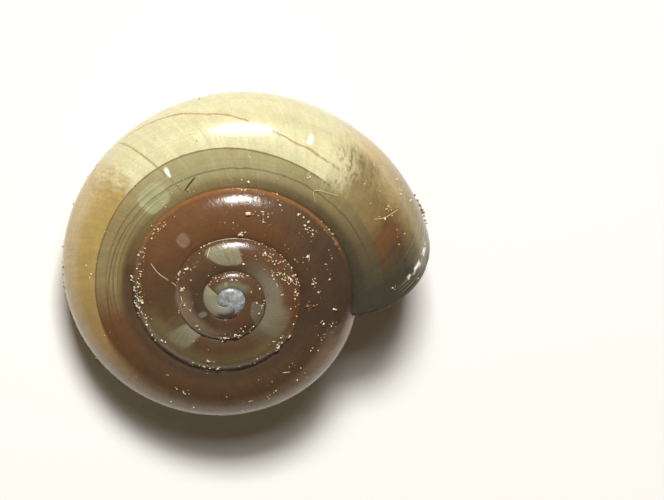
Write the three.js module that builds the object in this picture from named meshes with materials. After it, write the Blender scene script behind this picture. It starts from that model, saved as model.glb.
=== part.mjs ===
import * as THREE from 'three';

// The shell of a land snail: one hollow tube coiled clockwise, seen from above, into a low
// spire, open at the mouth and with a small pit, the navel, under its middle.
// Millimetres, +Z up. The shell lies on its base, and the origin is the middle of its box
// on the surface that it lies on. +X points to the side of the mouth.
// The coil is worked out about its own axis first, with the apex at zero, and then leant.

// The whole coil
const MOUTH_RADIUS = 7.6; // from the coil's axis to the widest point, before the mouth narrows
const WHORLS = 4 + 15 / 16; // turns from the apex to the mouth
const GROWTH = 1.483; // how many times wider the tube gets in each turn
const WIDEST_DEPTH = 3.3; // from the apex down to the widest point of the mouth
const BASE_DEPTH = 6.56; // from the apex down to the lowest point of the mouth
const BASE_REACH = 0.5; // radius of the lowest point, as a share of that of the widest
const EMBRYO_HEIGHT = 0.25; // height of the first shell at the axis
const DOME = 0.028; // what the embryo's first turn gains in size, as a share of the full size
const DOME_RISE = [0.15, 0.45]; // turns over which it swells
const DOME_FALL = [0.75, 1.05]; // turns over which that is lost again
const BULGE = 0.013; // share by which the tube widens after a pause in its growth
const BULGE_TURNS = 0.1; // turns over which that bulge rises and falls
const BULGE_BACK = 0.28; // turns from the mouth back to the middle of the bulge
const NARROWING = 0.04; // share by which the grown mouth draws in
const NARROWING_TURNS = 0.3; // turns over which it draws in

// The section of the tube, and where the next turn is attached to it
const CROWN_RISE = 12; // degrees that the crown rises as it leaves the suture
const CROWN_REACH = 0.45; // share of the crown's width that keeps that slope
const FLANK_HEIGHT = 0.75; // share of the crown's height over which the flank is upright
const ROUND = 0.5523; // handle length that makes a Bezier arc a quarter of an ellipse
const BASE_FULLNESS = 0.55; // share of the base's width that stays low
const NAVEL_SLOPE = 75; // degrees that the navel's wall makes with the horizontal
const NAVEL_DEPTH = 0.35; // share of the base arc that keeps that slope
const SUTURE_AT = 0.7576; // where on the crown arc the next turn starts
const NAVEL_AT = 2.5; // where past the crown and flank arcs the next turn ends

// The wall and the mouth
const LIP_WALL = 0.2; // thickness at the mouth
const WALL_GROWTH = 0.8; // power of the tube's size that the thickness follows
const WALL_SPAN = 0.1; // width of the seam where a turn's wall meets the turn before
const HOLLOW_FROM = 1.5; // turns from the apex where the tube starts to be hollow
const LIP_LAG = 42; // degrees that the plane of the mouth leans back from the axis
const LAG_TURNS = 0.25; // turns over which the growth edge takes up that lean
const MOUTH_AZIMUTH = -13.5; // degrees from +X to where the lip ends at the suture

// How the shell lies
const REST_LEAN = 13.3; // degrees that the coil's axis leans
const REST_TOWARDS = 223.4; // degrees from +X to the side it leans to
const CONTACT_FLAT = 0.12; // depth of the flats where the base bears on a surface

// Facets
const TURN = 32; // sections in one turn
const CROWN_STEPS = 4;
const COVERED_STEPS = 10;
const NAVEL_STEPS = 3;
const INNER_STEPS = 10;

const { degToRad, smoothstep } = THREE.MathUtils;
const lastRow = Math.round(WHORLS * TURN);
const hollowRow = Math.round(HOLLOW_FROM * TURN);

// Points across the outside of the tube, from the suture over the flank to the navel. The
// next turn's wall is attached from SUTURE to SUTURE_IN and from NAVEL_IN to NAVEL.
function evenly(from, to, steps) {
  return Array.from({ length: steps + 1 }, (_, k) => from + ((to - from) * k) / steps);
}
const across = [
  ...evenly(0, SUTURE_AT, CROWN_STEPS),
  ...evenly(SUTURE_AT + WALL_SPAN, NAVEL_AT - WALL_SPAN, COVERED_STEPS),
  ...evenly(NAVEL_AT, 3, NAVEL_STEPS),
];
const SUTURE = CROWN_STEPS;
const SUTURE_IN = SUTURE + 1;
const NAVEL_IN = SUTURE_IN + COVERED_STEPS;
const NAVEL = NAVEL_IN + 1;
const LAST = across.length - 1;

// Size of the tube after a number of turns, from 0 at the apex to 1 at the mouth
function sizeAt(turns) {
  const dome = smoothstep(turns, ...DOME_RISE) * (1 - smoothstep(turns, ...DOME_FALL));
  return (GROWTH ** turns - 1) / (GROWTH ** WHORLS - 1) + DOME * dome;
}

// How full the tube is beside steady growth
function fullnessAt(turns) {
  const bulge = BULGE * Math.exp(-(((turns - WHORLS + BULGE_BACK) / BULGE_TURNS) ** 2));
  const narrowing = NARROWING * smoothstep(turns, WHORLS - NARROWING_TURNS, WHORLS);
  return (1 + bulge) * (1 - narrowing);
}

// The section's three arcs, in radius and height: the crown from the suture to the widest
// point, the flank from there to the lowest point, and the base from there to the navel.
function arcsAt(turns, suture, navel, inset) {
  const size = sizeAt(turns);
  const widest = new THREE.Vector2(
    MOUTH_RADIUS * size * fullnessAt(turns) - inset,
    -WIDEST_DEPTH * size,
  );
  const depth = EMBRYO_HEIGHT + (BASE_DEPTH - EMBRYO_HEIGHT) * size;
  const lowest = new THREE.Vector2(MOUTH_RADIUS * BASE_REACH * size, inset - depth);
  const reach = (widest.x - suture.x) * CROWN_REACH;
  const rise = degToRad(CROWN_RISE);
  const slope = degToRad(NAVEL_SLOPE);
  const pull = lowest.distanceTo(navel) * NAVEL_DEPTH;
  const crown = new THREE.CubicBezierCurve(
    suture,
    new THREE.Vector2(suture.x + Math.cos(rise) * reach, suture.y + Math.sin(rise) * reach),
    new THREE.Vector2(widest.x, widest.y + (suture.y - widest.y) * FLANK_HEIGHT),
    widest,
  );
  const flank = new THREE.CubicBezierCurve(
    widest,
    new THREE.Vector2(widest.x, widest.y + (lowest.y - widest.y) * ROUND),
    new THREE.Vector2(lowest.x + (widest.x - lowest.x) * ROUND, lowest.y),
    lowest,
  );
  const base = new THREE.CubicBezierCurve(
    lowest,
    new THREE.Vector2(lowest.x - (lowest.x - navel.x) * BASE_FULLNESS, lowest.y),
    new THREE.Vector2(navel.x + Math.cos(slope) * pull, navel.y - Math.sin(slope) * pull),
    navel,
  );
  return [crown, flank, base];
}

function pointOn(arcs, place) {
  const arc = Math.min(2, Math.floor(place));
  return arcs[arc].getPoint(place - arc);
}

// Outside of every section. The first turn starts on the axis, and each later one on the
// turn before it.
const outside = [];
for (let row = 0; row <= lastRow; row += 1) {
  const before = outside[row - TURN];
  const suture = before ? before[SUTURE] : new THREE.Vector2(0, 0);
  const navel = before ? before[NAVEL] : new THREE.Vector2(0, -EMBRYO_HEIGHT);
  const arcs = arcsAt(row / TURN, suture, navel, 0);
  outside.push(across.map((place) => pointOn(arcs, place)));
}

// A section's point in space. Near the mouth it lags behind its section's plane by its
// distance from the line between suture and navel, which makes the mouth plane and oblique.
const corners = [];
function addPoint(row, point) {
  const suture = outside[row][0];
  const chord = suture.clone().sub(outside[row][LAST]).normalize();
  const outward = point.clone().sub(suture).dot(new THREE.Vector2(chord.y, -chord.x));
  const turns = row / TURN;
  const share = smoothstep(turns, WHORLS - LAG_TURNS, WHORLS) * Math.tan(degToRad(LIP_LAG));
  const lag = (share * Math.max(0, outward)) / Math.max(point.x, LIP_WALL);
  const azimuth = degToRad(MOUTH_AZIMUTH + 360 * (WHORLS - turns)) + lag;
  corners.push(
    new THREE.Vector3(point.x * Math.cos(azimuth), point.x * Math.sin(azimuth), point.y),
  );
  return corners.length - 1;
}

const apex = corners.push(new THREE.Vector3(0, 0, 0)) - 1;
const pit = corners.push(new THREE.Vector3(0, 0, -EMBRYO_HEIGHT)) - 1;

// Corner numbers on the outside. Neighbouring turns share the corners of their seams.
const outerCorners = outside.map(() => []);
function outer(row, column) {
  if (column === 0) {
    return row < TURN ? apex : outer(row - TURN, SUTURE);
  }
  if (column === LAST) {
    return row < TURN ? pit : outer(row - TURN, NAVEL);
  }
  if (row === 0) {
    return column <= SUTURE ? apex : pit;
  }
  outerCorners[row][column] ??= addPoint(row, outside[row][column]);
  return outerCorners[row][column];
}

// Corner numbers on the hollow's own wall. Its edges lie on the turn before, which closes
// the hollow on the inside.
const innerCorners = outside.map(() => []);
function inner(row, column) {
  const before = row - TURN;
  if (column === 0) {
    return outer(before, SUTURE_IN);
  }
  if (column === INNER_STEPS) {
    return outer(before, NAVEL_IN);
  }
  if (innerCorners[row][column] === undefined) {
    const turns = row / TURN;
    const wall = LIP_WALL * sizeAt(turns) ** WALL_GROWTH;
    const arcs = arcsAt(turns, outside[before][SUTURE_IN], outside[before][NAVEL_IN], wall);
    innerCorners[row][column] = addPoint(row, pointOn(arcs, (3 * column) / INNER_STEPS));
  }
  return innerCorners[row][column];
}

const triangles = [];
function addTriangle(a, b, c) {
  if (a !== b && b !== c && c !== a) {
    triangles.push(a, b, c);
  }
}

// The outside: crown and navel wall all the way, the rest of the section where no later
// turn covers it, and the stretch that the next turn's hollow runs along.
for (let row = 0; row < lastRow; row += 1) {
  for (let column = 0; column < LAST; column += 1) {
    const open = row >= lastRow - TURN || column < SUTURE || column >= NAVEL;
    const lines = row >= hollowRow - TURN && column >= SUTURE_IN && column < NAVEL_IN;
    if (open || lines) {
      const [a, b] = [outer(row, column), outer(row + 1, column)];
      const [c, d] = [outer(row + 1, column + 1), outer(row, column + 1)];
      addTriangle(a, b, c);
      addTriangle(a, c, d);
    }
  }
}

// The hollow's wall
for (let row = hollowRow; row < lastRow; row += 1) {
  for (let column = 0; column < INNER_STEPS; column += 1) {
    const [a, b] = [inner(row, column), inner(row, column + 1)];
    const [c, d] = [inner(row + 1, column + 1), inner(row + 1, column)];
    addTriangle(a, b, c);
    addTriangle(a, c, d);
  }
}

// A strip of triangles between two lines of corners, always along the shorter diagonal
function addStrip(left, right) {
  let [i, j] = [0, 0];
  while (i < left.length - 1 || j < right.length - 1) {
    const leftNext = i < left.length - 1
      ? corners[left[i + 1]].distanceTo(corners[right[j]])
      : Infinity;
    const rightNext = j < right.length - 1
      ? corners[left[i]].distanceTo(corners[right[j + 1]])
      : Infinity;
    if (leftNext <= rightNext) {
      addTriangle(left[i], right[j], left[i + 1]);
      i += 1;
    } else {
      addTriangle(left[i], right[j], right[j + 1]);
      j += 1;
    }
  }
}

// The edge of the lip, and the blind end of the hollow
const outerEdge = across.map((_, column) => outer(lastRow, column));
const innerEdge = evenly(0, INNER_STEPS, INNER_STEPS).map((column) => inner(lastRow, column));
addStrip(outerEdge, innerEdge);
const blindEnd = evenly(0, INNER_STEPS, INNER_STEPS).map((column) => inner(hollowRow, column));
const blindWall = evenly(SUTURE_IN, NAVEL_IN, COVERED_STEPS)
  .map((column) => outer(hollowRow - TURN, column));
addStrip(blindEnd, blindWall);

// Lean the coil, let its lowest points sink by the depth of the flats, and flatten them
const towards = degToRad(REST_TOWARDS);
const leanAbout = new THREE.Vector3(-Math.sin(towards), Math.cos(towards), 0);
corners.forEach((corner) => corner.applyAxisAngle(leanAbout, degToRad(REST_LEAN)));
const sink = new THREE.Box3().setFromPoints(corners).min.z + CONTACT_FLAT;
corners.forEach((corner) => corner.setZ(Math.max(0, corner.z - sink)));

const geometry = new THREE.BufferGeometry().setFromPoints(corners);
geometry.setIndex(triangles);
geometry.computeBoundingBox();
const middle = geometry.boundingBox.getCenter(new THREE.Vector3());
geometry.translate(-middle.x, -middle.y, 0);
geometry.computeVertexNormals();

const shell = new THREE.Mesh(
  geometry,
  new THREE.MeshStandardMaterial({ color: 0xb8925c, roughness: 0.2, metalness: 0 }),
);
shell.name = 'shell';

const group = new THREE.Group();
group.add(shell);

export default group;
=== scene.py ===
"""A land snail's shell: a thin glossy tube coiled clockwise, straw yellow on its last whorl and
red-brown on its spire, with sand grains and fibres stuck to it. Lengths in the coil's own
frame are millimetres; every Blender object is in metres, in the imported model's frame."""

import math

import bpy
import numpy as np
from mathutils import Matrix, Vector


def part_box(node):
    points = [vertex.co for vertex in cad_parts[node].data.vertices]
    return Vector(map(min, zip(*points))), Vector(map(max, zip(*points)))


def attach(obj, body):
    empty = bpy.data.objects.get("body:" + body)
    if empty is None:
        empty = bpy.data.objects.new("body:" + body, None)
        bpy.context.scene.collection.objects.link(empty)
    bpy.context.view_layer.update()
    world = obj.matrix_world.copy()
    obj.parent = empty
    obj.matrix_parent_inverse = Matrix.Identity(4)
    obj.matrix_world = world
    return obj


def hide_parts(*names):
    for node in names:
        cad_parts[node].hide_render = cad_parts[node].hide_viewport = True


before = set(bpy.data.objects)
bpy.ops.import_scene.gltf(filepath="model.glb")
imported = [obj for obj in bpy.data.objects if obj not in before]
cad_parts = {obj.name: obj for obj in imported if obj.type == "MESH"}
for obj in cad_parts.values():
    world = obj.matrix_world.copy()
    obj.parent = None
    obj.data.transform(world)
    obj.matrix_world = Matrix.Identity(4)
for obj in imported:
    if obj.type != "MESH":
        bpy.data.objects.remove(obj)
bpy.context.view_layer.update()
MM = 0.001

# ---------------------------------------------------------------- the coil, as in the CAD part
MOUTH_RADIUS = 7.6  # from the coil's axis to the widest point, before the mouth narrows
WHORLS = 4 + 15 / 16  # turns from the apex to the mouth
GROWTH = 1.483  # how many times wider the tube gets in each turn
WIDEST_DEPTH = 3.3  # from the apex down to the widest point of the mouth
BASE_DEPTH = 6.56  # from the apex down to the lowest point of the mouth
BASE_REACH = 0.5  # radius of the lowest point, as a share of that of the widest
EMBRYO_HEIGHT = 0.25  # height of the first shell at the axis
DOME = 0.028  # what the embryo's first turn gains in size, as a share of the full size
DOME_FROM, DOME_FULL, DOME_TO, DOME_END = 0.15, 0.45, 0.75, 1.05  # turns of its rise and fall
BULGE, BULGE_TURNS, BULGE_BACK = 0.013, 0.1, 0.28  # how much, how long, and turns before the mouth
NARROWING, NARROWING_TURNS = 0.04, 0.3  # how much the grown mouth draws in, and over what turns
CROWN_RISE, CROWN_REACH = math.radians(12), 0.45
FLANK_HEIGHT = 0.75  # share of the crown's height over which the flank is upright
ROUND = 0.5523  # handle length that makes a Bezier arc a quarter of an ellipse
BASE_FULLNESS = 0.55  # share of the base's width that stays low
NAVEL_SLOPE, NAVEL_DEPTH = math.radians(75), 0.35
SUTURE_AT, NAVEL_AT = 0.7576, 2.5  # where the next turn starts and ends on the section
WALL_SPAN = 0.1  # width of the seam where a turn's wall meets the turn before
LIP_WALL, WALL_GROWTH = 0.2, 0.8  # thickness at the mouth, and the power of the size it follows
HOLLOW_FROM = 1.5  # turns from the apex where the tube starts to be hollow
LIP_LAG, LAG_TURNS = math.tan(math.radians(42)), 0.25  # lean of the mouth, and turns it takes
MOUTH_AZIMUTH = math.radians(-13.5)
REST_LEAN, REST_TOWARDS = math.radians(13.3), math.radians(223.4)
CONTACT_FLAT = 0.12  # depth of the flats that the shell lies on

# ---------------------------------------------------------------- finer than the CAD part
TURN = 240  # sections in one turn
CROWN_STEPS, COVERED_STEPS, NAVEL_STEPS, INNER_STEPS = 16, 24, 6, 20
SHOULDER, SHOULDER_WIDTH = 0.035, 0.06  # the step where a whorl's edge stands on the last one
LIP_TAPER, LIP_EDGE = 0.03, 0.3  # turns over which the wall thins at the lip, and to what share

# ---------------------------------------------------------------- how it is seen
VIEW_TILT, VIEW_TOWARDS = math.radians(22.4), math.radians(-87.1)  # lean of the coil's axis
VIEW_WIDTH = 23.44  # across the picture at the shell
VIEW_AIM = (3.66, 1.9)  # from the apex to the middle of the picture, right and up
LENS, SENSOR = 250.0, 36.0
LIGHT_AZIMUTH, LIGHT_DISTANCE = 95, 0.5  # degrees from +X, and metres
ROOM_COLOUR, ROOM_STRENGTH = (1.0, 0.74, 0.5, 1), 0.07
FLOOR_HALF = 0.6  # metres


def smooth(value, low, high):
    share = np.clip((value - low) / (high - low), 0, 1)
    return share * share * (3 - 2 * share)


def lean_matrix(angle, towards):
    """Turns the Z axis by an angle towards a side."""
    return Matrix.Rotation(angle, 3, Vector((-math.sin(towards), math.cos(towards), 0)))


def size_at(turns):
    """Share of the full size; the embryo's first turn swells into a dome."""
    dome = smooth(turns, DOME_FROM, DOME_FULL) * (1 - smooth(turns, DOME_TO, DOME_END))
    return (GROWTH**turns - 1) / (GROWTH**WHORLS - 1) + DOME * dome


def fullness_at(turns):
    """How full the tube is beside steady growth."""
    bulge = BULGE * math.exp(-(((turns - WHORLS + BULGE_BACK) / BULGE_TURNS) ** 2))
    return (1 + bulge) * (1 - NARROWING * smooth(turns, WHORLS - NARROWING_TURNS, WHORLS))


def bezier(points, t):
    """Points of a cubic Bezier arc, at values of t from 0 to 1."""
    a, b, c, d = (np.asarray(p, float) for p in points)
    t = np.asarray(t, float)[:, None]
    return (1 - t) ** 3 * a + 3 * (1 - t) ** 2 * t * b + 3 * (1 - t) * t**2 * c + t**3 * d


def section(turns, suture, navel, inset, places):
    """Radius and height of the section at places from 0, the suture, over 1, the widest point,
    and 2, the lowest, to 3, the navel."""
    size = size_at(turns)
    widest = (MOUTH_RADIUS * size * fullness_at(turns) - inset, -WIDEST_DEPTH * size)
    depth = EMBRYO_HEIGHT + (BASE_DEPTH - EMBRYO_HEIGHT) * size
    lowest = (MOUTH_RADIUS * BASE_REACH * size, inset - depth)
    reach = (widest[0] - suture[0]) * CROWN_REACH
    pull = math.dist(lowest, navel) * NAVEL_DEPTH
    crown = (
        suture,
        (suture[0] + math.cos(CROWN_RISE) * reach, suture[1] + math.sin(CROWN_RISE) * reach),
        (widest[0], widest[1] + (suture[1] - widest[1]) * FLANK_HEIGHT),
        widest,
    )
    flank = (
        widest,
        (widest[0], widest[1] + (lowest[1] - widest[1]) * ROUND),
        (lowest[0] + (widest[0] - lowest[0]) * ROUND, lowest[1]),
        lowest,
    )
    base = (
        lowest,
        (lowest[0] - (lowest[0] - navel[0]) * BASE_FULLNESS, lowest[1]),
        (navel[0] + math.cos(NAVEL_SLOPE) * pull, navel[1] - math.sin(NAVEL_SLOPE) * pull),
        navel,
    )
    places = np.asarray(places, float)
    arc = np.minimum(places.astype(int), 2)
    out = np.zeros((len(places), 2))
    for k, points in enumerate((crown, flank, base)):
        here = arc == k
        out[here] = bezier(points, places[here] - k)
    return out


class Coil:
    """The shell's surface as a grid of corners that neighbouring whorls share."""

    def __init__(self):
        eased = (1 - np.cos(np.pi * np.arange(CROWN_STEPS + 1) / CROWN_STEPS)) / 2
        self.across = np.concatenate([
            SUTURE_AT * eased,
            np.linspace(SUTURE_AT + WALL_SPAN, NAVEL_AT - WALL_SPAN, COVERED_STEPS + 1),
            np.linspace(NAVEL_AT, 3, NAVEL_STEPS + 1),
        ])
        self.suture = CROWN_STEPS
        self.suture_in = self.suture + 1
        self.navel_in = self.suture_in + COVERED_STEPS
        self.navel = self.navel_in + 1
        self.last = len(self.across) - 1
        self.rows = round(WHORLS * TURN)
        self.hollow = round(HOLLOW_FROM * TURN)
        self.outside = []
        for row in range(self.rows + 1):
            before = self.outside[row - TURN] if row >= TURN else None
            suture = before[self.suture] if row >= TURN else (0.0, 0.0)
            navel = before[self.navel] if row >= TURN else (0.0, -EMBRYO_HEIGHT)
            line = section(row / TURN, suture, navel, 0.0, self.across)
            line[1:-1, 1] += self.shoulder(line, row)[1:-1]
            self.outside.append(line)
        self.points = [(0.0, 0.0, 0.0), (0.0, 0.0, -EMBRYO_HEIGHT)]
        self.known = {}
        self.quads, self.coords = [], []

    def shoulder(self, line, row):
        """Height that a whorl's upper edge stands above the whorl it is attached to."""
        away = np.hypot(*(line - line[0]).T)
        size = math.sqrt(size_at(row / TURN))
        crown = 1 - smooth(self.across, 0.6, 1.0)
        return SHOULDER * size * crown * (1 - np.exp(-away / (SHOULDER_WIDTH * max(size, 0.1))))

    def lag(self, row, point):
        """How far the growing edge lags behind its section's plane, in radians of azimuth."""
        line = self.outside[row]
        chord = line[0] - line[-1]
        chord /= max(np.hypot(*chord), 1e-9)
        outward = (point[0] - line[0][0]) * chord[1] - (point[1] - line[0][1]) * chord[0]
        return LIP_LAG * max(0.0, outward) / max(point[0], LIP_WALL)

    def add(self, row, point):
        turns = row / TURN
        taken_up = smooth(turns, WHORLS - LAG_TURNS, WHORLS)
        azimuth = MOUTH_AZIMUTH + math.tau * (WHORLS - turns) + taken_up * self.lag(row, point)
        self.points.append(
            (point[0] * math.cos(azimuth), point[0] * math.sin(azimuth), point[1])
        )
        return len(self.points) - 1

    def outer(self, row, column):
        if column == 0:
            return 0 if row < TURN else self.outer(row - TURN, self.suture)
        if column == self.last:
            return 1 if row < TURN else self.outer(row - TURN, self.navel)
        if row == 0:
            return 0 if column <= self.suture else 1
        key = (row, column)
        if key not in self.known:
            self.known[key] = self.add(row, self.outside[row][column])
        return self.known[key]

    def inner_line(self, row):
        turns = row / TURN
        wall = LIP_WALL * size_at(turns) ** WALL_GROWTH
        wall *= 1 - (1 - LIP_EDGE) * smooth(turns, WHORLS - LIP_TAPER, WHORLS)
        before = self.outside[row - TURN]
        places = np.linspace(0, 3, INNER_STEPS + 1)
        return section(turns, before[self.suture_in], before[self.navel_in], wall, places)

    def inner(self, row, column):
        if column == 0:
            return self.outer(row - TURN, self.suture_in)
        if column == INNER_STEPS:
            return self.outer(row - TURN, self.navel_in)
        key = (row, column, "in")
        if key not in self.known:
            line = self.inner_line(row)
            for k in range(1, INNER_STEPS):
                self.known[(row, k, "in")] = self.add(row, line[k])
        return self.known[key]

    def face(self, corners, coords):
        """A face of three or four corners, each with its turns, place across and side."""
        kept = [k for k in range(len(corners)) if corners[k] != corners[k - 1]]
        if len(kept) > 2:
            self.quads.append([corners[k] for k in kept])
            self.coords.extend(coords[k] for k in kept)

    def build(self):
        for row in range(self.rows):
            near, far = row / TURN, (row + 1) / TURN
            for col in range(self.last):
                is_open = row >= self.rows - TURN or col < self.suture or col >= self.navel
                lines = row >= self.hollow - TURN and self.suture_in <= col < self.navel_in
                if is_open or lines:
                    a, b = self.across[col], self.across[col + 1]
                    side = 0.0 if is_open else 1.0
                    self.face(
                        [self.outer(row, col), self.outer(row + 1, col),
                         self.outer(row + 1, col + 1), self.outer(row, col + 1)],
                        [(near, a, side), (far, a, side), (far, b, side), (near, b, side)],
                    )
        places = np.linspace(0, 3, INNER_STEPS + 1)
        for row in range(self.hollow, self.rows):
            near, far = row / TURN, (row + 1) / TURN
            for col in range(INNER_STEPS):
                a, b = places[col], places[col + 1]
                self.face(
                    [self.inner(row, col), self.inner(row, col + 1),
                     self.inner(row + 1, col + 1), self.inner(row + 1, col)],
                    [(near, a, 1.0), (near, b, 1.0), (far, b, 1.0), (far, a, 1.0)],
                )
        edge_out = [(self.outer(self.rows, k), self.across[k]) for k in range(self.last + 1)]
        edge_in = [(self.inner(self.rows, k), places[k]) for k in range(INNER_STEPS + 1)]
        self.strip(edge_out, edge_in, WHORLS)
        end_in = [(self.inner(self.hollow, k), places[k]) for k in range(INNER_STEPS + 1)]
        end_wall = [
            (self.outer(self.hollow - TURN, k), self.across[k])
            for k in range(self.suture_in, self.navel_in + 1)
        ]
        self.strip(end_in, end_wall, HOLLOW_FROM)

    def strip(self, left, right, turns):
        """Triangles between two lines of corners, always along the shorter diagonal."""
        def gap(a, b):
            return math.dist(self.points[a[0]], self.points[b[0]])

        i = j = 0
        while i < len(left) - 1 or j < len(right) - 1:
            step_left = gap(left[i + 1], right[j]) if i < len(left) - 1 else math.inf
            step_right = gap(left[i], right[j + 1]) if j < len(right) - 1 else math.inf
            if step_left <= step_right:
                trio = [left[i], right[j], left[i + 1]]
                i += 1
            else:
                trio = [left[i], right[j], right[j + 1]]
                j += 1
            self.face([c[0] for c in trio], [(turns, c[1], 0.5) for c in trio])


def mesh_object(name, points, faces, smooth_faces=True):
    mesh = bpy.data.meshes.new(name)
    mesh.from_pydata(points, [], faces)
    mesh.polygons.foreach_set("use_smooth", [smooth_faces] * len(mesh.polygons))
    obj = bpy.data.objects.new(name, mesh)
    bpy.context.scene.collection.objects.link(obj)
    return obj


def place_on_ground(points):
    """The coil's points as the shell lies, in metres, and the offset to the CAD box."""
    lean = np.array(lean_matrix(REST_LEAN, REST_TOWARDS))
    points = np.asarray(points) @ lean.T
    sink = points[:, 2].min() + CONTACT_FLAT
    points[:, 2] = np.maximum(0, points[:, 2] - sink)
    low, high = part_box("shell")
    middle = (points.min(0) + points.max(0)) / 2
    offset = np.array([(low.x + high.x) / 2 / MM - middle[0],
                       (low.y + high.y) / 2 / MM - middle[1], 0])
    return (points + offset) * MM, (offset - np.array([0, 0, sink])) * MM, lean


def add_corner_values(mesh, name, values):
    attribute = mesh.attributes.new(name, "FLOAT", "CORNER")
    attribute.data.foreach_set("value", np.array(values, np.float32))


def corner_lags(coil):
    """The turns by which the lip reached each corner later than the suture beside it."""
    lags, values = {}, []
    for turns, place, _ in coil.coords:
        row = min(round(turns * TURN), coil.rows)
        key = (row, round(place, 4))
        if key not in lags:
            line = coil.outside[row]
            point = [np.interp(place, coil.across, line[:, k]) for k in (0, 1)]
            left = 1 - smooth(turns, WHORLS - LAG_TURNS, WHORLS)
            lags[key] = left * coil.lag(row, point) / math.tau
        values.append(lags[key])
    return values


def crease_sutures(mesh, coil):
    pairs = set()
    for row in range(TURN, coil.rows):
        a, b = coil.outer(row, 0), coil.outer(row + 1, 0)
        pairs.add((min(a, b), max(a, b)))
    sharp = mesh.attributes.new("sharp_edge", "BOOLEAN", "EDGE")
    for edge in mesh.edges:
        a, b = edge.vertices
        sharp.data[edge.index].value = (min(a, b), max(a, b)) in pairs


def make_shell():
    coil = Coil()
    coil.build()
    points, offset, lean = place_on_ground(coil.points)
    shell = mesh_object("snail_shell", points.tolist(), coil.quads)
    for k, name in enumerate(("turns", "across", "side")):
        add_corner_values(shell.data, name, [c[k] for c in coil.coords])
    add_corner_values(shell.data, "lag", corner_lags(coil))
    crease_sutures(shell.data, coil)
    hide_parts("shell")
    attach(shell, "root")
    return shell, coil, offset, lean


def make_camera(offset, lean):
    """The picture's axes in the coil's frame, leant with the coil as it lies."""
    picture = np.array(lean_matrix(VIEW_TILT, VIEW_TOWARDS))
    right, up, back = (lean @ picture.T[:, k] for k in range(3))
    apex = Vector(offset)
    aim = apex + (Vector(right) * VIEW_AIM[0] + Vector(up) * VIEW_AIM[1]) * MM
    distance = VIEW_WIDTH * MM * LENS / SENSOR
    camera = bpy.data.cameras.new("camera")
    camera.lens, camera.sensor_width = LENS, SENSOR
    camera.clip_start, camera.clip_end = 0.001, 10.0
    obj = bpy.data.objects.new("camera", camera)
    bpy.context.scene.collection.objects.link(obj)
    turn = Matrix((right, up, back)).transposed()
    obj.matrix_world = Matrix.Translation(aim + Vector(back) * distance) @ turn.to_4x4()
    bpy.context.scene.camera = obj


def make_floor():
    corners = [(x * FLOOR_HALF, y * FLOOR_HALF, 0) for x, y in ((-1, -1), (1, -1), (1, 1), (-1, 1))]
    floor = mesh_object("floor", corners, [(0, 1, 2, 3)], False)
    material = bpy.data.materials.new("paper")
    material.use_nodes = True
    shader = material.node_tree.nodes["Principled BSDF"]
    shader.inputs["Base Color"].default_value = (0.9, 0.89, 0.84, 1)
    shader.inputs["Roughness"].default_value = 0.9
    floor.data.materials.append(material)


def add_light(name, elevation, width, height, power):
    """A lamp beyond the shell that faces it; degrees, metres and watts."""
    light = bpy.data.lights.new(name, "AREA")
    light.shape, light.size, light.size_y = "RECTANGLE", width, height
    light.energy = power
    obj = bpy.data.objects.new(name, light)
    bpy.context.scene.collection.objects.link(obj)
    a, e = math.radians(LIGHT_AZIMUTH), math.radians(elevation)
    out = Vector((math.cos(a) * math.cos(e), math.sin(a) * math.cos(e), math.sin(e)))
    obj.location = out * LIGHT_DISTANCE
    obj.rotation_euler = out.to_track_quat("Z", "Y").to_euler()


def make_lights():
    """One soft box beyond the shell, and the dim warm light that the room gives back."""
    add_light("softbox", 48.5, 0.14, 0.09, 2.55)
    add_light("diffuser", 53, 0.15, 0.16, 1.0)
    world = bpy.data.worlds.new("studio")
    world.use_nodes = True
    background = world.node_tree.nodes["Background"]
    background.inputs["Color"].default_value = ROOM_COLOUR
    background.inputs["Strength"].default_value = ROOM_STRENGTH
    bpy.context.scene.world = world
    bpy.context.scene.view_settings.view_transform = "Standard"


def paint(red, green, blue):
    """A colour from its values on a screen, 0 to 255."""
    def linear(value):
        value /= 255
        return value / 12.92 if value <= 0.04045 else ((value + 0.055) / 1.055) ** 2.4

    return (linear(red), linear(green), linear(blue), 1.0)


# ---------------------------------------------------------------- colours of the shell
STRAW = paint(214, 208, 164)
PALE_STRAW = paint(198, 191, 150)
GOLD = paint(178, 152, 92)
OCHRE = paint(170, 140, 88)
OCHRE_BROWN = paint(132, 110, 70)
TAN = paint(190, 168, 122)
SAND = paint(186, 172, 146)
MAUVE = paint(142, 119, 97)
BARK = paint(92, 71, 49)
UMBER = paint(78, 62, 48)
KHAKI = paint(150, 134, 92)
BRONZE = paint(126, 108, 74)
OLIVE = paint(172, 163, 118)
MOSS = paint(103, 90, 64)
BOTTLE = paint(72, 68, 55)
AMBER = paint(150, 103, 56)
RUST = paint(112, 78, 50)
MAROON = paint(102, 71, 52)
COCOA = paint(95, 71, 50)
GREYBEARD = paint(124, 119, 97)
PEARL = paint(143, 139, 116)
SLATE = paint(146, 148, 143)
# white of the painted highlights
GLINT = paint(250, 250, 246)
LAST = WHORLS - 1  # where the last whorl begins, in turns


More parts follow.
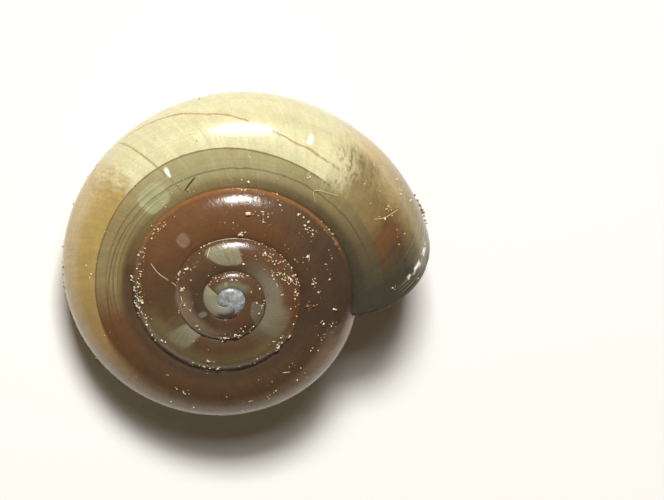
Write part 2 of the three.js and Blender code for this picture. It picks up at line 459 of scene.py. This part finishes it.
class Nodes:
    """Short names for the nodes of one material; every method gives back a socket."""

    def __init__(self, name):
        self.material = bpy.data.materials.new(name)
        self.material.use_nodes = True
        self.tree = self.material.node_tree
        self.shader = self.tree.nodes["Principled BSDF"]

    def new(self, kind, inputs=(), **settings):
        node = self.tree.nodes.new(kind)
        for name, value in settings.items():
            setattr(node, name, value)
        for key, value in dict(inputs).items():
            self.put(node.inputs[key], value)
        return node

    def put(self, socket, value):
        if isinstance(value, bpy.types.NodeSocket):
            self.tree.links.new(value, socket)
        else:
            socket.default_value = value

    def calculate(self, operation, *values):
        return self.new("ShaderNodeMath", enumerate(values), operation=operation).outputs[0]

    def plus(self, *values):
        return self.calculate("ADD", *values)

    def minus(self, *values):
        return self.calculate("SUBTRACT", *values)

    def times(self, *values):
        return self.calculate("MULTIPLY", *values)

    def attribute(self, name):
        return self.new("ShaderNodeAttribute", attribute_name=name).outputs["Fac"]

    def rise(self, value, low, high):
        """0 below the first mark, 1 above the second; falls if the marks fall."""
        inputs = {"Value": value, "From Min": low, "From Max": high}
        return self.new("ShaderNodeMapRange", inputs, interpolation_type="SMOOTHSTEP").outputs[0]

    def window(self, value, low, high, blur):
        up = self.rise(value, low - blur, low + blur)
        return self.times(up, self.rise(value, high + blur, high - blur))

    def vector(self, x, y, z):
        return self.new("ShaderNodeCombineXYZ", enumerate((x, y, z))).outputs[0]

    def noise(self, vector, scale, detail=2.0, roughness=0.5):
        inputs = {"Vector": vector, "Scale": scale, "Detail": detail, "Roughness": roughness}
        return self.new("ShaderNodeTexNoise", inputs).outputs[0]

    def ramp(self, value, stops):
        node = self.new("ShaderNodeValToRGB", {0: value})
        elements = node.color_ramp.elements
        while len(elements) < len(stops):
            elements.new(1.0)
        for element, (place, colour) in zip(elements, stops):
            element.position, element.color = place, colour
        return node.outputs[0]

    def curve(self, value, points):
        """A smooth curve through points from 0 to 1."""
        node = self.new("ShaderNodeFloatCurve", {"Value": value})
        line = node.mapping.curves[0]
        while len(line.points) < len(points):
            line.points.new(0.5, 0.5)
        for k, (x, y) in enumerate(points):
            line.points[k].location = (x, y)
        node.mapping.update()
        return node.outputs[0]

    def mix(self, share, under, over):
        inputs = {0: share, 6: under, 7: over}
        return self.new("ShaderNodeMix", inputs, data_type="RGBA").outputs[2]

    def tint(self, colour, value, amount):
        """Lightens and darkens a colour by a value that lies about one half."""
        gain = self.plus(self.times(self.minus(value, 0.5), amount), 1.0)
        node = self.new("ShaderNodeVectorMath", {0: colour, "Scale": gain}, operation="SCALE")
        return node.outputs[0]


LAG_SHARE = 0.7  # how much of the lip's lag the streaks follow
METRES_TO_MM = 1000.0


class Growth(Nodes):
    """Nodes that know the shell: places are turns from the apex and places across a whorl."""

    def __init__(self, name):
        super().__init__(name)
        self.turns = self.attribute("turns")
        self.across = self.attribute("across")
        self.grown = self.plus(self.turns, self.times(self.attribute("lag"), LAG_SHARE))
        self.last = self.minus(self.turns, LAST)
        place = self.new("ShaderNodeTexCoord").outputs["Object"]
        self.place = self.new(
            "ShaderNodeVectorMath", {0: place, "Scale": METRES_TO_MM}, operation="SCALE"
        ).outputs[0]
        self.ragged = self.minus(self.noise(self.place, 3.0, 4.0, 0.6), 0.5)

    def streaks(self, fine, along, seed=0.0):
        """Noise drawn out across the whorl, along the former lips."""
        vector = self.vector(self.times(self.grown, fine), self.times(self.across, along), seed)
        return self.noise(vector, 1.0, 3.0, 0.55)

    def threads(self, along, fine, seed=0.0):
        """Noise drawn out along the whorl."""
        vector = self.vector(self.times(self.turns, along), self.times(self.across, fine), seed)
        return self.noise(vector, 1.0, 2.0, 0.5)

    def patch(self, turns, across, length, height, blur=0.25, slant=0.0, ragged=0.3):
        """A rounded patch about a place; its length runs along the whorl, in turns."""
        away = self.minus(self.across, across)
        along = self.minus(self.turns, turns)
        along = self.minus(along, self.times(away, slant))
        along = self.calculate("POWER", self.calculate("ABSOLUTE", self.times(along, 1 / length)), 3.0)
        away = self.calculate("POWER", self.calculate("ABSOLUTE", self.times(away, 1 / height)), 3.0)
        reach = self.calculate("POWER", self.plus(along, away), 1 / 3)
        reach = self.plus(reach, self.times(self.ragged, ragged))
        return self.rise(reach, 1 + blur, 1 - blur)

    def line(self, offset, width):
        """A line where an offset across the whorl is nought."""
        return self.rise(self.calculate("ABSOLUTE", offset), width, width * 0.3)


def spire_colour(n):
    """The first four whorls: slate at the apex, then brown with grey lengths, then maroon."""
    inner = n.ramp(n.times(n.turns, 1 / WHORLS), [(turns / WHORLS, colour) for turns, colour in (
        (1.18, SLATE), (1.27, PEARL), (1.49, PEARL), (1.50, BARK),
        (1.56, GREYBEARD), (1.78, GREYBEARD), (1.84, COCOA), (2.10, COCOA), (2.35, UMBER),
        (2.70, COCOA), (2.84, GREYBEARD), (2.95, GREYBEARD), (3.08, COCOA), (3.42, BARK),
        (3.55, RUST), (3.72, RUST), (3.80, COCOA), (3.93, UMBER),
    )])
    outer = n.ramp(n.times(n.turns, 1 / WHORLS), [(turns / WHORLS, colour) for turns, colour in (
        (1.00, SLATE), (1.06, COCOA), (1.24, COCOA), (1.28, PEARL), (1.49, PEARL), (1.50, COCOA),
        (1.90, COCOA), (2.10, COCOA), (2.25, MAUVE), (2.37, MAUVE), (2.46, COCOA), (2.60, COCOA),
        (2.85, MAROON), (2.96, RUST), (3.05, BRONZE), (3.33, BRONZE), (3.40, COCOA), (3.50, RUST),
        (3.66, RUST), (3.74, COCOA), (3.84, UMBER), (3.93, UMBER),
    )])
    colour = n.mix(n.rise(n.plus(n.across, n.times(n.ragged, 0.2)), 0.18, 0.45), inner, outer)
    wavy = n.plus(n.across, n.times(n.ragged, 0.08))
    rim = n.times(n.rise(wavy, 0.66, 0.72), n.window(n.turns, 3.44, 3.84, 0.05))
    colour = n.mix(n.times(rim, 0.6), colour, AMBER)
    rim = n.times(n.rise(wavy, 0.58, 0.66), n.window(n.turns, 2.98, 3.36, 0.04))
    return n.mix(rim, colour, MAUVE)


def band_edge(n):
    """Offset from the sharp outer edge of the dark band on the last whorl."""
    edge = n.curve(n.last, [
        (0.0, 0.42), (0.35, 0.43), (0.5, 0.38), (0.65, 0.42), (0.8, 0.33), (1.0, 0.28),
    ])
    return n.minus(n.across, n.plus(edge, n.times(n.ragged, 0.012)))


def last_whorl_colour(n):
    """A dark band along the suture and, beyond a sharp edge, the pale periphery."""
    creased = n.plus(n.last, n.times(n.minus(n.streaks(90.0, 5.0, 2.0), 0.5), 0.05))
    band = n.ramp(n.last, [
        (0.0, UMBER), (0.12, BARK), (0.33, COCOA), (0.42, RUST), (0.48, KHAKI), (0.56, KHAKI),
        (0.63, OLIVE), (0.76, OLIVE), (0.84, KHAKI), (0.92, MOSS), (0.98, BOTTLE),
    ])
    suture = n.ramp(n.last, [
        (0.0, UMBER), (0.33, UMBER), (0.5, BARK), (0.62, KHAKI), (0.72, KHAKI), (0.85, MOSS),
        (0.95, BOTTLE),
    ])
    band = n.mix(n.rise(n.across, 0.06, 0.17), suture, band)
    # the middle of the whorl; on the bottom side its mauve is partly a painted reflection of the floor
    middle = n.ramp(creased, [
        (0.0, UMBER), (0.06, MAUVE), (0.30, MAUVE), (0.40, OCHRE), (0.50, GOLD), (0.58, GOLD),
        (0.60, STRAW), (0.82, STRAW), (0.85, KHAKI), (0.90, OCHRE_BROWN), (0.93, RUST),
        (0.97, BOTTLE),
    ])
    # the lower flank; on the bottom side its mauve and sand tones are partly a painted reflection of
    # the floor
    rim = n.ramp(creased, [
        (0.0, MAUVE), (0.10, SAND), (0.36, SAND), (0.44, TAN), (0.57, TAN), (0.60, PALE_STRAW),
        (0.82, PALE_STRAW), (0.86, TAN), (0.95, KHAKI), (1.0, GREYBEARD),
    ])
    ragged = n.plus(n.across, n.times(n.ragged, 0.15))
    outside = n.mix(n.rise(ragged, 0.5, 0.8), middle, rim)
    edge = band_edge(n)
    faded = n.rise(n.last, 0.32, 0.44)
    blur = n.plus(n.times(n.minus(1.0, faded), 0.1), 0.006)
    over = n.new("ShaderNodeMapRange", {
        "Value": edge, "From Min": n.times(blur, -1.0), "From Max": blur,
    }, interpolation_type="SMOOTHSTEP").outputs[0]
    return n.mix(over, band, outside), edge


def add_patches(n, colour):
    """Pale spots of the body that show through, then two glints and the pale suture lines.
    Each patch has its turns, place across, half length, half height, blur, slant and raggedness."""
    veined = n.plus(0.72, n.times(n.rise(n.streaks(200.0, 1.5, 3.0), 0.38, 0.62), 0.28))
    for place, tone, share in (
        (n.patch(4.55, 0.2, 0.02, 0.13, 0.12, 0, 0.05), paint(186, 184, 142), 0.9),
        (n.patch(3.55, 0.25, 0.013, 0.1, 0.15, 0, 0.05), paint(144, 120, 94), 0.8),
        (n.patch(3.28, 0.1, 0.03, 0.3, 0.15, 0.02), paint(140, 138, 112), 0.85),
        (n.patch(3.3, 0.3, 0.045, 0.3, 0.4), paint(132, 122, 90), 0.25),
        (n.patch(2.64, 0.4, 0.05, 0.25, 0.12, -0.09), paint(150, 145, 118), 0.9),
        (n.patch(2.88, 0.1, 0.07, 0.2, 0.3), paint(132, 120, 102), 0.8),
        (n.patch(2.97, 0.2, 0.045, 0.3, 0.3), paint(130, 122, 98), 0.75),
        (n.patch(2.32, 0.15, 0.016, 0.1, 0.2), paint(136, 130, 108), 0.7),
        (n.patch(1.96, 0.45, 0.05, 0.25, 0.15, 0.1), paint(124, 112, 96), 0.9),
        (n.patch(1.5, 0.4, 0.01, 0.4, 0.2), paint(168, 172, 130), 0.8),
        (n.patch(1.63, 0.2, 0.012, 0.12, 0.2), paint(160, 164, 124), 0.7),
        (n.patch(4.8, 0.7, 0.022, 0.1, 0.5), paint(132, 120, 84), 0.7),
        # painted highlights: two white glints on the last whorl, one on the former lip
        (n.patch(4.58, 0.33, 0.0025, 0.05, 0.4, 0, 0.1), GLINT, 1.0),
        (n.patch(4.73, 0.6, 0.0025, 0.05, 0.4, 0, 0.1), GLINT, 1.0),
        (n.patch(1.95, 0.75, 0.09, 0.011, 0.3, 0, 0.3), paint(190, 182, 138), 0.8),
        (n.patch(2.35, 0.75, 0.06, 0.011, 0.3, 0, 0.3), paint(196, 196, 180), 0.8),
        (n.patch(2.65, 0.75, 0.06, 0.012, 0.3, 0, 0.3), paint(196, 190, 160), 0.7),
    ):
        colour = n.mix(n.times(n.times(place, share), veined), colour, tone)
    return colour


def add_lines(n, colour, edge):
    """Thin dark lines along the last whorl, and one former lip across it."""
    along = n.window(n.last, 0.38, 0.93, 0.05)
    inner = n.curve(n.last, [
        (0.0, 0.42), (0.4, 0.3), (0.5, 0.23), (0.7, 0.2), (1.0, 0.2),
    ])
    inner = n.minus(n.across, n.plus(inner, n.times(n.ragged, 0.03)))
    colour = n.mix(n.times(n.times(n.line(inner, 0.012), along), 0.45), colour, BOTTLE)
    rim = n.times(n.line(n.plus(edge, 0.006), 0.012), n.window(n.last, 0.42, 0.84, 0.03))
    colour = n.mix(n.times(rim, 0.55), colour, BARK)
    trail = n.curve(n.last, [
        (0.0, 1.0), (0.6, 1.0), (0.7, 0.75), (0.8, 0.5), (1.0, 0.45),
    ])
    wobble = n.times(n.minus(n.noise(n.place, 1.6, 4.0, 0.65), 0.5), 0.07)
    trail = n.minus(n.across, n.plus(trail, wobble))
    mask = n.times(n.line(trail, 0.016), n.window(n.last, 0.615, 0.835, 0.01))
    colour = n.mix(n.times(mask, 0.6), colour, AMBER)
    old_lip = n.times(n.line(n.minus(n.grown, 4.59), 0.0016), n.rise(n.across, 1.1, 0.9))
    return n.mix(n.times(old_lip, 0.7), colour, KHAKI)


def add_grain(n, colour):
    """Fine streaks, threads and mottling, stronger in the band and at the lip; with painted shade in
    the folds' creases, a painted glint line at the lip and painted highlights on the apex dome.
    """
    fine = n.streaks(220.0, 1.2)
    colour = n.tint(colour, fine, 0.30)
    band = n.times(n.window(n.last, 0.25, 0.62, 0.08), n.window(n.across, 0.05, 0.36, 0.05))
    threads = n.threads(3.0, 40.0)
    colour = n.mix(n.times(band, n.times(n.rise(threads, 0.5, 0.62), 0.55)), colour, BARK)
    colour = n.tint(colour, threads, 0.18)
    # folds of the body seen through the shell, with painted shade in their creases and paler between
    # them
    dark = n.patch(LAST + 0.86, 0.65, 0.030, 0.15, 0.6, 0, 0.5)
    crease_shade = n.rise(n.streaks(260.0, 14.0, 7.0), 0.44, 0.60)
    colour = n.mix(n.times(dark, n.times(crease_shade, 0.45)), colour, MOSS)
    light = n.patch(LAST + 0.83, 0.5, 0.022, 0.20, 0.6, 0, 0.5)
    colour = n.mix(n.times(light, n.times(n.minus(1.0, crease_shade), 0.6)), colour, STRAW)
    fold = n.patch(LAST + 0.58, 0.6, 0.020, 0.22, 0.6, 0, 0.5)
    colour = n.mix(n.times(fold, n.times(crease_shade, 0.5)), colour, OCHRE)
    near_lip = n.rise(n.last, 0.955, 0.975)
    bright = n.rise(n.streaks(300.0, 1.0, 11.0), 0.47, 0.62)
    far = n.rise(n.across, 0.35, 0.6)
    colour = n.mix(n.times(near_lip, n.times(bright, n.times(far, 0.6))), colour, SAND)
    # painted highlight: a broken white glint line along the lip
    lip_glint = n.times(n.line(n.minus(n.last, 0.986), 0.004), n.window(n.across, 0.52, 0.84, 0.05))
    lip_glint = n.times(lip_glint, n.rise(n.noise(n.place, 2.6, 2.0), 0.44, 0.52))
    colour = n.mix(lip_glint, colour, GLINT)
    dark_edge = n.times(n.rise(n.last, 0.990, 0.996), n.rise(n.across, 1.2, 0.9))
    colour = n.mix(n.times(dark_edge, 0.7), colour, BOTTLE)
    dome = n.rise(n.turns, 1.12, 1.0)
    blot = n.noise(n.place, 5.0, 4.0, 0.65)
    colour = n.mix(n.times(dome, n.rise(blot, 0.5, 0.68)), colour, paint(122, 118, 114))
    # painted highlights: pale bluish blots on the apex dome
    colour = n.mix(n.times(dome, n.rise(blot, 0.5, 0.34)), colour, paint(176, 184, 196))
    colour = n.tint(colour, n.noise(n.place, 2.2, 5.0, 0.6), 0.35)
    return n.tint(colour, n.noise(n.place, 16.0, 3.0, 0.7), 0.45), fine


def shell_material():
    n = Growth("shell")
    last, edge = last_whorl_colour(n)
    colour = n.mix(n.rise(n.turns, LAST - 0.02, LAST + 0.02), spire_colour(n), last)
    colour = add_patches(n, colour)
    colour = add_lines(n, colour, edge)
    colour, fine = add_grain(n, colour)
    inside = n.rise(n.attribute("side"), 0.55, 0.8)
    colour = n.mix(inside, colour, AMBER)
    n.put(n.shader.inputs["Base Color"], colour)
    n.put(n.shader.inputs["Roughness"], n.plus(0.14, n.times(fine, 0.12)))
    n.shader.inputs["Subsurface Weight"].default_value = 0.3
    n.shader.inputs["Subsurface Scale"].default_value = 0.0004
    height = n.plus(n.times(fine, 0.35), n.times(n.streaks(60.0, 0.8, 4.0), 0.65))
    height = n.plus(height, n.times(n.noise(n.place, 9.0, 3.0, 0.6), 0.3))
    bump = n.new("ShaderNodeBump", {"Height": height, "Strength": 0.4, "Distance": 0.00004})
    n.put(n.shader.inputs["Normal"], bump.outputs[0])
    return n.material


class Ground:
    """Finds places on the shell's outside as it lies, in metres."""

    def __init__(self, coil, offset, lean):
        self.coil, self.offset, self.lean = coil, offset, lean

    def point(self, turns, across):
        coil = self.coil
        row = min(turns * TURN, coil.rows)
        low = min(int(row), coil.rows - 1)
        share = row - low
        line = coil.outside[low] * (1 - share) + coil.outside[low + 1] * share
        place = [np.interp(across, coil.across, line[:, k]) for k in (0, 1)]
        taken_up = smooth(turns, WHORLS - LAG_TURNS, WHORLS)
        azimuth = MOUTH_AZIMUTH + math.tau * (WHORLS - turns) + taken_up * coil.lag(low, place)
        flat = [place[0] * math.cos(azimuth), place[0] * math.sin(azimuth), place[1]]
        return self.lean @ np.array(flat) * MM + self.offset

    def frame(self, turns, across):
        """A point, the way outwards and the way along the whorl."""
        step = 0.004
        here = self.point(turns, across)
        along = self.point(turns + step, across) - self.point(turns - step, across)
        over = self.point(turns, across + step) - self.point(turns, max(across - step, 0))
        out = np.cross(along, over)
        out /= np.linalg.norm(out)
        row = min(int(turns * TURN), self.coil.rows)
        middle = self.coil.outside[row].mean(0)
        azimuth = MOUTH_AZIMUTH + math.tau * (WHORLS - turns)
        core = [middle[0] * math.cos(azimuth), middle[0] * math.sin(azimuth), middle[1]]
        core = self.lean @ np.array(core) * MM + self.offset
        if out @ (here - core) < 0:
            out = -out
        return here, out, along / np.linalg.norm(along)


def grain_shape():
    """The corners and faces of a twenty-sided solid of radius one."""
    gold = (1 + math.sqrt(5)) / 2
    corners = [(a, b * gold, 0) for a in (-1, 1) for b in (-1, 1)]
    corners += [(0, a, b * gold) for a in (-1, 1) for b in (-1, 1)]
    corners += [(b * gold, 0, a) for a in (-1, 1) for b in (-1, 1)]
    corners = np.array(corners) / math.sqrt(1 + gold * gold)
    edge = np.linalg.norm(corners[:, None] - corners[None], axis=2)
    shortest = edge[edge > 0].min() * 1.01
    faces = []
    for a in range(12):
        for b in range(a + 1, 12):
            for c in range(b + 1, 12):
                if max(edge[a, b], edge[b, c], edge[a, c]) < shortest:
                    normal = np.cross(corners[b] - corners[a], corners[c] - corners[a])
                    faces.append((a, b, c) if normal @ corners[a] > 0 else (a, c, b))
    return corners, faces


# turns, across, spread in turns, spread across, number, mean size in millimetres
SAND_DRIFTS = (
    (3.4, 0.6, 0.04, 0.06, 96, 0.036), (3.5, 0.65, 0.03, 0.05, 30, 0.034),
    (3.7, 0.5, 0.02, 0.15, 70, 0.034), (3.8, 0.6, 0.03, 0.1, 40, 0.034),
    (3.95, 0.4, 0.02, 0.1, 30, 0.032), (3.85, 0.2, 0.03, 0.1, 20, 0.036),
    (3.1, 0.6, 0.1, 0.06, 40, 0.034), (2.95, 0.6, 0.08, 0.08, 30, 0.034),
    (2.8, 0.6, 0.04, 0.15, 100, 0.036), (2.6, 0.6, 0.06, 0.1, 24, 0.032),
    (2.45, 0.5, 0.05, 0.2, 28, 0.034), (2.1, 0.55, 0.12, 0.15, 38, 0.034),
    (1.9, 0.6, 0.1, 0.15, 20, 0.032), (1.6, 0.6, 0.1, 0.1, 28, 0.032),
    (4.85, 0.6, 0.02, 0.15, 44, 0.035), (4.6, 0.1, 0.05, 0.1, 22, 0.034),
    (4.4, 1.0, 0.06, 0.1, 36, 0.03), (4.4, 0.4, 0.25, 0.2, 42, 0.028),
    (4.1, 0.3, 0.1, 0.2, 36, 0.028), (4.75, 0.3, 0.08, 0.2, 22, 0.028),
    (3.6, 0.35, 0.2, 0.2, 48, 0.026), (2.6, 0.4, 0.25, 0.2, 42, 0.026),
)
CRUMBS = (
    (4.92, 1.1, 0.005, 0.04, 20, 0.07), (3.82, 0.7, 0.006, 0.03, 16, 0.05),
    (3.93, 0.15, 0.007, 0.04, 12, 0.045), (4.3, 0.9, 0.03, 0.05, 26, 0.036),
    (4.4, 1.0, 0.06, 0.05, 40, 0.03), (4.6, 0.95, 0.15, 0.15, 12, 0.028),
)
CLUMPING = 0.55  # share of the grains that sit beside the one before
CLUMP_TURNS, CLUMP_ACROSS = 0.0035, 0.02  # how far that is, on the last whorl and across
GRAIN_RADIUS = 0.62  # radius as a share of the size
LIP_MARGIN, SUTURE_MARGIN = 0.004, 0.01
LAST_REACH = 1.25  # how far across the last whorl grains lie


def make_grains(name, ground, drifts, seed, material, sunk=0.3):
    """Angular grains in drifts about places on the shell, all in one mesh."""
    corners, faces = grain_shape()
    chance = np.random.default_rng(seed)
    points, triangles = [], []
    for turns, across, spread_turns, spread_across, number, size in drifts:
        at, place = turns, across
        for _ in range(number):
            if chance.random() < CLUMPING:
                at += chance.normal(0, CLUMP_TURNS * (WHORLS / at) ** 1.5)
                place += chance.normal(0, CLUMP_ACROSS)
            else:
                at = turns + chance.normal(0, spread_turns)
                place = across + chance.normal(0, spread_across)
            at = min(at, WHORLS - LIP_MARGIN)
            reach = LAST_REACH if at > LAST + SUTURE_MARGIN else SUTURE_AT - SUTURE_MARGIN
            place = min(abs(place), reach)
            here, out, _ = ground.frame(at, place)
            radius = size * chance.lognormal(0, 0.35) * GRAIN_RADIUS * MM
            turned, _ = np.linalg.qr(chance.normal(size=(3, 3)))
            shape = corners * chance.uniform(0.5, 1.4, (12, 1)) * chance.uniform(0.4, 1.6, 3)
            first = len(points)
            centre = here + out * radius * (1 - sunk)
            points.extend((centre + shape @ turned * radius).tolist())
            flip = np.linalg.det(turned) < 0
            triangles.extend(
                tuple(first + k for k in (face[::-1] if flip else face)) for face in faces
            )
    obj = mesh_object(name, points, triangles, False)
    obj.data.materials.append(material)
    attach(obj, "root")


def rounded_path(points, steps=8):
    """A curve through all the points."""
    points = [np.array(p, float) for p in points]
    ends = [2 * points[0] - points[1]] + points + [2 * points[-1] - points[-2]]
    path = []
    for a, b, c, d in zip(ends, ends[1:], ends[2:], ends[3:]):
        for t in np.linspace(0, 1, steps, endpoint=False):
            path.append(0.5 * (2 * b + (c - a) * t + (2 * a - 5 * b + 4 * c - d) * t**2
                               + (3 * b - a - 3 * c + d) * t**3))
    return path + [points[-1]]


def add_tube(points, faces, path, radius, sides=6):
    """A tube along a path, thinner towards both ends."""
    first = len(points)
    side = np.array((0.0, 0.0, 1.0))
    for k, here in enumerate(path):
        ahead = path[min(k + 1, len(path) - 1)] - path[max(k - 1, 0)]
        ahead /= np.linalg.norm(ahead)
        side = side - ahead * (side @ ahead)
        side /= np.linalg.norm(side)
        other = np.cross(ahead, side)
        share = k / (len(path) - 1)
        thick = radius * (0.35 + 0.65 * math.sin(math.pi * min(max(share, 0.02), 0.98)) ** 0.4)
        for turn in range(sides):
            angle = math.tau * turn / sides
            points.append((here + (side * math.cos(angle) + other * math.sin(angle)) * thick)
                          .tolist())
    for k in range(len(path) - 1):
        for turn in range(sides):
            a, b = first + k * sides + turn, first + k * sides + (turn + 1) % sides
            faces.append((a, b, b + sides, a + sides))
    faces.append(tuple(first + turn for turn in reversed(range(sides))))
    faces.append(tuple(first + (len(path) - 1) * sides + turn for turn in range(sides)))


# each: thickness in millimetres, then places as turns, across and height above the shell
PALE_FIBRES = (
    (0.02, (3.48, 0.65, 0.02), (3.46, 0.3, 0.03), (3.44, 0, 0.05), (2.4, 0.5, 0.04), (2.38, 0.6, 0.02)),
    (0.02, (4.79, 0.3, 0.02), (4.76, 0.2, 0.03), (4.77, 0.1, 0.01)),
    (0.02, (4.86, 0.65, 0.01), (4.85, 0.5, 0.03), (4.84, 0.4, 0.01)),
    (0.02, (3.82, 0.3, 0.02), (3.83, 0.25, 0.02)),
    (0.02, (4.06, 0.25, 0.02), (4.05, 0.3, 0.02)),
    (0.02, (2.86, 0.6, 0.02), (2.87, 0.65, 0.05), (2.86, 0.7, 0.02)),
    (0.02, (2.6, 0.65, 0.01), (2.58, 0.45, 0.02)),
    (0.02, (4.3, 0.7, 0.01), (4.31, 0.95, 0.05), (4.27, 1.0, 0.04)),
)
BRISTLES = (
    (0.03, (4.61, 0.2, 0.1), (4.6, 0.15, 0.05), (4.59, 0.1, 0.01)),
)


def make_fibres(name, ground, fibres, material):
    """Fibres laid on the shell, all in one mesh."""
    points, faces = [], []
    for thickness, *places in fibres:
        path = []
        for turns, across, height in places:
            here, out, _ = ground.frame(turns, across)
            path.append(here + out * height * MM)
        add_tube(points, faces, rounded_path(path), thickness / 2 * MM)
    obj = mesh_object(name, points, faces)
    obj.data.materials.append(material)
    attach(obj, "root")


def plain_material(name, colour, roughness):
    n = Nodes(name)
    n.shader.inputs["Base Color"].default_value = colour
    n.shader.inputs["Roughness"].default_value = roughness
    return n.material


def sand_material():
    """Cream to gold grains, a little glassy."""
    n = Nodes("sand")
    place = n.new("ShaderNodeTexCoord").outputs["Object"]
    hue = n.noise(place, 9000.0, 1.0)
    colour = n.ramp(hue, [(0.30, paint(200, 160, 90)), (0.5, paint(232, 212, 165)),
                          (0.66, paint(240, 236, 215))])
    n.put(n.shader.inputs["Base Color"], colour)
    n.shader.inputs["Roughness"].default_value = 0.3
    return n.material


shell, coil, offset, lean = make_shell()
shell.data.materials.append(shell_material())
ground = Ground(coil, offset, lean)
make_grains("sand", ground, SAND_DRIFTS, 5, sand_material())
make_grains("crumbs", ground, CRUMBS, 8, plain_material("crumbs", paint(140, 104, 68), 0.6), 0.1)
make_fibres("fibres", ground, PALE_FIBRES, plain_material("fibres", paint(228, 214, 178), 0.4))
make_fibres("bristle", ground, BRISTLES, plain_material("bristle", paint(36, 30, 26), 0.3))
make_camera(offset, lean)
make_floor()
make_lights()
